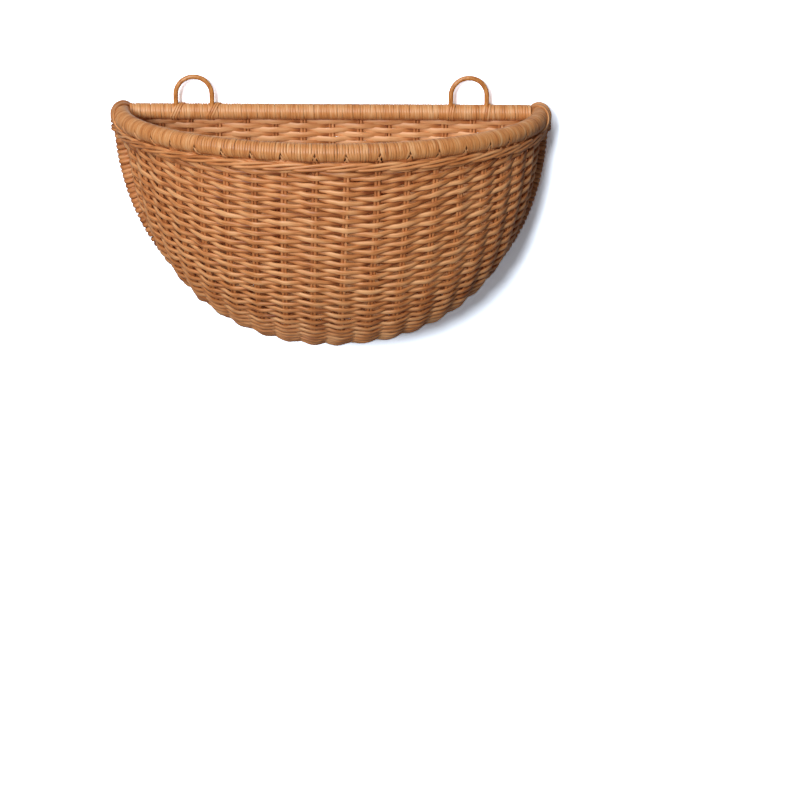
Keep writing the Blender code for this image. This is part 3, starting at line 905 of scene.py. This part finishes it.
class BASKET_OT_rim_binding(Operator):
    """Close turns of peel round the rim, parted over each stake, whose two ends cross there"""

    bl_idname = "basket.rim_binding"
    bl_label = "Rim binding"

    def execute(self, context):
        binding = context.scene.basket_binding
        rng = np.random.default_rng(16)
        notches = notch_places()
        whole_rim = lengths(rim_centre())[-1]

        def side_turn(place):
            return NOTCH_SIDE_TURN * np.abs(2 * place / whole_rim - 1) ** 4

        def parting(turn, angle, pitch):
            whole = np.round(turn - 0.5)
            passing = (whole + 0.5) * pitch
            away = passing[:, None] - notches[None]
            push = np.sign(away) * np.exp(-((away / NOTCH_HALF_WIDTH) ** 2))
            down = np.mod(angle, 2 * math.pi) + side_turn(passing)
            opened = np.clip((down - math.radians(80)) / math.radians(52), 0, 1)
            closed = np.clip((1.5 * math.pi - down) / (0.35 * math.pi), 0, 1)
            return opened * closed * binding.notch_opening * push.sum(axis=1)

        pitch = binding.peel_width
        turns = coil(
            rim_centre(),
            (0, 0, 1.0),
            RIM_RADIUS - binding.peel_thickness / 2,
            pitch * 1.07,
            binding.peel_thickness,
            pitch,
            seed=41,
            parting=parting,
            steps=28,
        )
        crossed = []
        for place in notches:
            for side in (-1, 1):
                angles = np.radians(np.linspace(164, rng.uniform(98, 108), 12)) - side_turn(place)
                rise = np.linspace(0, 1, 12)
                slip = side * (0.0018 - 0.0034 * rise) + rng.normal(0, 0.0002)
                radius = RIM_RADIUS - 0.0001 - 0.0012 * rise + 0.0003 * side
                path, outwards = round_the_rim(-1, place + slip, angles, radius)
                wide = np.interp(rise, (0, 0.7, 1), (0.0017, 0.0015, 0.0007))
                tone = rng.normal(PLAIN_TONE + 0.22, 0.08)
                crossed.append(strand(path, outwards, wide, 0.0011, tone, sides=6))
        strand_piece("rim_turns", [turns], 51, peel_finish(), "rattan_peel", "rim_binding")
        strand_piece("stake_tips", crossed, 54, core_finish(), "rattan_stake", "rim_binding")
        return {"FINISHED"}


class BASKET_OT_rail_binding(Operator):
    """Close turns of peel round the rail, and ties over the rings' legs, slanted at the left"""

    bl_idname = "basket.rail_binding"
    bl_label = "Rail binding"

    def execute(self, context):
        binding = context.scene.basket_binding
        rng = np.random.default_rng(17)
        end = RIM_HALF_WIDTH - RIM_RADIUS - WALL_GAP / 2
        x = np.linspace(-end, end, 300)
        centre = np.stack(np.broadcast_arrays(x, RAIL_Y, RIM_Z), -1)
        pitch = binding.peel_width
        turns = coil(
            centre,
            (0, 0, 1.0),
            RAIL_RADIUS - binding.peel_thickness / 2,
            pitch * 1.07,
            binding.peel_thickness,
            pitch,
            seed=42,
            steps=24,
        )
        ties = []
        for side in (-1, 1):
            for leg in (-1, 1):
                foot = side * (RIM_HALF_WIDTH - RING_INSET) + leg * RING_HALF_WIDTH
                for i in range(3):
                    angles = np.radians(np.linspace(-70, 196, 30))
                    slant = (0.0052, -0.0022) if side < 0 else (0.0012, -0.0006)
                    slide = np.interp(angles, np.radians((-10, 120)), slant)
                    place = foot + slide + (i - 1) * TIE_STEP
                    outwards = np.stack([0 * angles, -np.sin(angles), np.cos(angles)], -1)
                    reach = RAIL_RADIUS - 0.0001 + 0.0007 * np.exp(-((angles - 0.6) ** 2) / 0.3)
                    path = outwards * np.asarray(reach)[:, None]
                    path += np.stack(np.broadcast_arrays(place, RAIL_Y, RIM_Z), -1)
                    path[:, 1] = np.minimum(path[:, 1], -WALL_CLEARANCE)
                    tone = rng.normal(PLAIN_TONE + 0.1, 0.08)
                    sizes = (pitch * 0.8, binding.peel_thickness)
                    ties.append(strand(path, outwards, *sizes, tone, sides=6))
        # Painted light: the rail's turns are made paler than the rim's, though both are the same
        # peel.
        turns["tone"] = turns["tone"] + 0.08
        strand_piece("rail_turns", [turns], 52, peel_finish(), "rattan_peel", "rail_binding")
        strand_piece("ring_ties", ties, 53, peel_finish(), "rattan_peel", "rail_binding")
        return {"FINISHED"}


class BASKET_OT_hoops(Operator):
    """Rods round the flat back, wound with weaver ends"""

    bl_idname = "basket.hoops"
    bl_label = "Hoops"

    def execute(self, context):
        binding = context.scene.basket_binding
        kink = math.atan2(other_share(SIDE_DROP_SHARE, HOOP_FULLNESS), SIDE_DROP_SHARE)
        top = LASHING_REACH / BOWL_HEIGHT
        head = math.atan2(other_share(top, HOOP_FULLNESS), top)
        gap = HOOP_JOINT_GAP / RIM_HALF_WIDTH
        runs = (
            ("side_hoop_left", -head, -kink - gap),
            ("side_hoop_right", kink + gap, head),
            ("lower_hoop", -kink, kink),
        )
        for i, (node, start, end) in enumerate(runs):
            centre = hoop_place(np.linspace(start, end, 400))
            thick = HOOP_ROD_DIAMETER
            rod = strand(centre[::6], (0, -1.0, 0), thick, thick, 0.2, sides=10, roundness=1)
            turns = coil(
                centre,
                (0, -1.0, 0),
                HOOP_RADIUS + 0.0001,
                binding.hoop_pitch * 0.94,
                HOOP_TURN_THICKNESS,
                binding.hoop_pitch,
                seed=60 + i,
                unevenness=0.12,
            )
            turns["tone"] = turns["tone"] - 0.14
            strand_piece(
                f"{node}_turns", [rod, turns], 70 + i, core_finish(), "rattan_core", node
            )
        return {"FINISHED"}


def select_corners(work_mesh, wanted):
    """Selects a mesh's corners by place, with edit mode on before and after."""
    bpy.ops.object.mode_set(mode="OBJECT")
    for corner in work_mesh.vertices:
        corner.select = bool(wanted(corner.co))
    bpy.ops.object.mode_set(mode="EDIT")


class BASKET_OT_rings(Operator):
    """Two rings of bare cane, bent like horseshoes, with their legs bound into the rail"""

    bl_idname = "basket.rings"
    bl_label = "Hanging rings"

    def execute(self, context):
        bend = RIM_Z + RING_RISE + RING_CANE_RADIUS - RING_HALF_WIDTH
        foot = RIM_Z - 0.001
        for side, name in ((-1, "left"), (1, "right")):
            middle = side * (RIM_HALF_WIDTH - RING_INSET)
            bpy.ops.object.select_all(action="DESELECT")
            bpy.ops.mesh.primitive_torus_add(
                location=(0, 0, 0),
                major_radius=RING_HALF_WIDTH,
                minor_radius=RING_CANE_RADIUS,
                major_segments=64,
                minor_segments=16,
            )
            ring = bpy.context.object
            ring.name = f"ring_{name}"
            ring.data.name = f"ring_{name}"
            bpy.ops.object.mode_set(mode="EDIT")
            bpy.ops.mesh.select_mode(type="VERT")
            bpy.ops.mesh.select_all(action="SELECT")
            bpy.ops.mesh.bisect(
                plane_co=(0, 0, 0), plane_no=(0, 1, 0), clear_inner=True, use_fill=False
            )
            select_corners(ring.data, lambda place: place.y < 1e-5)
            for _ in range(5):
                bpy.ops.mesh.extrude_region_move(
                    TRANSFORM_OT_translate={"value": (0, -(bend - foot) / 5, 0)}
                )
            for leg in (-1, 1):
                select_corners(
                    ring.data,
                    lambda place, leg=leg: place.y < foot - bend + 1e-5 and place.x * leg > 0,
                )
                bpy.ops.mesh.edge_face_add()
            bpy.ops.mesh.select_all(action="SELECT")
            bpy.ops.mesh.normals_make_consistent(inside=False)
            bpy.ops.object.mode_set(mode="OBJECT")
            stand = Matrix.Translation((middle, RING_Y, bend)) @ Matrix.Rotation(
                QUARTER_TURN, 4, "X"
            )
            ring.data.transform(stand)
            finish_piece(ring, cane_finish(), "rattan_cane", f"hanging_ring_{name}")
        return {"FINISHED"}


def cane_finish():
    """Round rattan cane with its skin on, bent when wet."""
    # The skin is whole, so the eye sees a smooth, slightly glossy rod with faint streaks.
    found = bpy.data.materials.get("rattan cane, bent bare")
    if found:
        return found
    tints = bpy.context.scene.basket_colours
    made, tree = blank_finish("rattan cane, bent bare")
    place = add_node(tree, "ShaderNodeTexCoord").outputs["Object"]
    spread = add_node(
        tree, "ShaderNodeMapping", inputs={"Vector": place, "Scale": (420, 900, 260)}
    ).outputs["Vector"]
    streaks = add_node(
        tree, "ShaderNodeTexNoise", inputs={"Vector": spread, "Scale": 1, "Detail": 3}
    ).outputs["Fac"]
    ramp = add_node(tree, "ShaderNodeValToRGB", inputs={"Fac": streaks})
    stops = ramp.color_ramp.elements
    stops[0].position = 0.3
    stops[0].color = (*tints.cane_dark, 1)
    stops[1].position = 0.75
    stops[1].color = (*tints.cane_light, 1)
    stops.new(0.5).color = (*tints.cane_middle, 1)
    sheen = {"Roughness": 0.38, "Coat Weight": 0.15, "Coat Roughness": 0.25}
    end_finish(tree, streaks, 0.3, 0.0001, {"Base Color": ramp.outputs["Color"], **sheen})
    return made


class BASKET_OT_lashings(Operator):
    """Strips of peel over each corner, which slant from the rail round the rim's outside"""

    bl_idname = "basket.lashings"
    bl_label = "Corner lashings"

    def execute(self, context):
        count = context.scene.basket_binding.lashing_turns
        rng = np.random.default_rng(15)
        for side, name in ((-1, "left"), (1, "right")):
            loops = []
            for i in range(count):
                angles = np.radians(np.linspace(-75, 200, 70))
                marks = np.radians((-60, 0, 90, 170))
                forward = np.interp(angles, marks, (0.0014, 0.007, 0.022, 0.033))
                forward += np.interp(angles, marks, (0.0016, 0.004, 0.0056, 0.006)) * i
                reach = RIM_RADIUS + 0.0007 + 0.0003 * math.sin(2.1 * i)
                path, outwards = round_the_rim(side, forward, angles, reach)
                tone = rng.normal(PLAIN_TONE, 0.12)
                sizes = (LASHING_WIDTH, LASHING_THICKNESS)
                loops.append(strand(path, outwards, *sizes, tone, sides=6))
            strand_piece(
                f"corner_turns_{name}",
                loops,
                80 + side,
                peel_finish(),
                "rattan_peel",
                f"corner_lashing_{name}",
            )
        return {"FINISHED"}


class BASKET_OT_poles(Operator):
    """Poles coloured dark as painted shade, which shows only between the turns of peel"""

    bl_idname = "basket.poles"
    bl_label = "Poles"

    def execute(self, context):
        # Painted shade: dull, blotched dark brown, which the eye meets as a dark line of shade
        # between turns and in the notches.
        tints = context.scene.basket_colours
        made, tree = blank_finish("rattan pole, painted shade")
        place = add_node(tree, "ShaderNodeTexCoord").outputs["Object"]
        spots = add_node(
            tree,
            "ShaderNodeTexNoise",
            inputs={"Vector": place, "Scale": 260, "Detail": 4},
        ).outputs["Fac"]
        ramp = add_node(tree, "ShaderNodeValToRGB", inputs={"Fac": spots})
        ramp.color_ramp.elements[0].color = (*tints.pole_painted_shade_dark, 1)
        ramp.color_ramp.elements[1].color = (*tints.pole_painted_shade_pale, 1)
        inputs = {"Base Color": ramp.outputs["Color"], "Roughness": 0.6}
        end_finish(tree, spots, 0.4, 0.0002, inputs)
        for node in ("rim_pole", "rail_pole"):
            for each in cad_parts[node].material_slots:
                each.material = made
        return {"FINISHED"}


class BASKET_OT_stage(Operator):
    """Wall, floor, lamps, even light and the camera"""

    bl_idname = "basket.stage"
    bl_label = "Stage"

    def execute(self, context):
        scene = context.scene
        stage = scene.basket_stage
        # Matt paint shows the basket's soft shadow. The view sees it washed out to white, the
        # basket gets only its plain grey back, and from behind the wall is clear.
        paint, tree = blank_finish("matt wall paint, rolled")
        face = add_node(tree, "ShaderNodeNewGeometry").outputs["Backfacing"]
        seen = add_node(tree, "ShaderNodeLightPath").outputs["Is Camera Ray"]
        plain, bright = [
            add_node(tree, "ShaderNodeBsdfDiffuse", inputs={"Color": (*tint, 1)}).outputs["BSDF"]
            for tint in (scene.basket_colours.wall, scene.basket_colours.wall_seen)
        ]
        double = add_node(tree, "ShaderNodeAddShader", inputs={0: bright, 1: bright})
        single = add_node(tree, "ShaderNodeAddShader", inputs={0: bright, 1: plain})
        washed = add_node(
            tree,
            "ShaderNodeAddShader",
            inputs={0: double.outputs["Shader"], 1: single.outputs["Shader"]},
        )
        clear = add_node(tree, "ShaderNodeBsdfTransparent").outputs["BSDF"]
        lit = add_node(
            tree, "ShaderNodeMixShader", inputs={0: seen, 1: plain, 2: washed.outputs["Shader"]}
        ).outputs["Shader"]
        one_sided = add_node(
            tree, "ShaderNodeMixShader", inputs={0: face, 1: lit, 2: clear}
        ).outputs["Shader"]
        add_node(tree, "ShaderNodeOutputMaterial", inputs={"Surface": one_sided})
        for name, place, turn in (
            ("wall", (0, 0, 0), (QUARTER_TURN, 0, 0)),
            ("floor", (0, 0, -1.3), (0, 0, 0)),
        ):
            bpy.ops.object.select_all(action="DESELECT")
            bpy.ops.mesh.primitive_plane_add(size=6, location=place, rotation=turn)
            board = bpy.context.object
            board.name = name
            board.data.materials.append(paint)
            board.visible_shadow = False
        lamps = (
            ("key_lamp", (-1.86, -5.25, 1.72), 1.5, stage.key_power),
            ("top_lamp", (-0.55, -1.7, 2.0), 1.4, stage.top_power),
            ("fill_lamp", (1.5, -1.9, 0.2), 1.2, stage.fill_power),
            ("rear_lamp", (0.3, 1.8, 0.8), 1.2, stage.rear_power),
        )
        for name, place, across, power in lamps:
            lamp = bpy.data.lights.new(name, "AREA")
            lamp.shape = "DISK"
            lamp.size = across
            lamp.energy = power
            made = bpy.data.objects.new(name, lamp)
            made.location = place
            made.rotation_euler = (-made.location).to_track_quat("-Z", "Y").to_euler()
            scene.collection.objects.link(made)
        world = bpy.data.worlds.new("even light")
        world.use_nodes = True
        sky = world.node_tree
        sky.nodes.clear()
        seen = add_node(sky, "ShaderNodeLightPath").outputs["Is Camera Ray"]
        strength = add_node(
            sky,
            "ShaderNodeMapRange",
            inputs={"Value": seen, "To Min": stage.sky, "To Max": 1},
        ).outputs["Result"]
        light = add_node(
            sky, "ShaderNodeBackground", inputs={"Color": (1, 1, 1, 1), "Strength": strength}
        ).outputs["Background"]
        add_node(sky, "ShaderNodeOutputWorld", inputs={"Surface": light})
        scene.world = world
        camera = bpy.data.cameras.new("camera")
        camera.lens = stage.lens
        camera.sensor_width = 36
        eye = bpy.data.objects.new("camera", camera)
        eye.location = (0, -2.0796, 0.5594)
        tilt, pan, roll = math.radians(19.242), math.radians(1.692), math.radians(0.624)
        look = Euler((QUARTER_TURN - tilt, 0, -pan)).to_matrix()
        eye.rotation_euler = (look @ Matrix.Rotation(roll, 3, "Z")).to_euler()
        scene.collection.objects.link(eye)
        scene.camera = eye
        scene.view_settings.view_transform = "Standard"
        return {"FINISHED"}


class BASKET_PT_pieces(Panel):
    """The basket's pieces, in the order in which they are made"""

    bl_label = "Wall basket"
    bl_idname = "BASKET_PT_pieces"
    bl_space_type = "VIEW_3D"
    bl_region_type = "UI"
    bl_category = "Basket"

    def draw(self, context):
        for piece in PIECES:
            self.layout.operator(piece.bl_idname)


PIECES = (
    BASKET_OT_front_weavers,
    BASKET_OT_back_weavers,
    BASKET_OT_stakes,
    BASKET_OT_wale,
    BASKET_OT_rim_binding,
    BASKET_OT_rail_binding,
    BASKET_OT_hoops,
    BASKET_OT_rings,
    BASKET_OT_lashings,
    BASKET_OT_poles,
    BASKET_OT_stage,
)
GROUPS = {
    "basket_weave": BasketWeave,
    "basket_binding": BasketBinding,
    "basket_colours": BasketColours,
    "basket_stage": BasketStage,
}


def register():
    for name, group in GROUPS.items():
        bpy.utils.register_class(group)
        setattr(bpy.types.Scene, name, PointerProperty(type=group))
    for piece in PIECES:
        bpy.utils.register_class(piece)
    bpy.utils.register_class(BASKET_PT_pieces)


def unregister():
    bpy.utils.unregister_class(BASKET_PT_pieces)
    for piece in reversed(PIECES):
        bpy.utils.unregister_class(piece)
    for name, group in GROUPS.items():
        delattr(bpy.types.Scene, name)
        bpy.utils.unregister_class(group)


def main():
    register()
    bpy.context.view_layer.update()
    bpy.ops.basket.front_weavers()
    bpy.ops.basket.back_weavers()
    bpy.ops.basket.stakes()
    bpy.ops.basket.wale()
    bpy.ops.basket.rim_binding()
    bpy.ops.basket.rail_binding()
    bpy.ops.basket.hoops()
    bpy.ops.basket.rings()
    bpy.ops.basket.lashings()
    bpy.ops.basket.poles()
    bpy.ops.basket.stage()


if __name__ == "__main__":
    main()
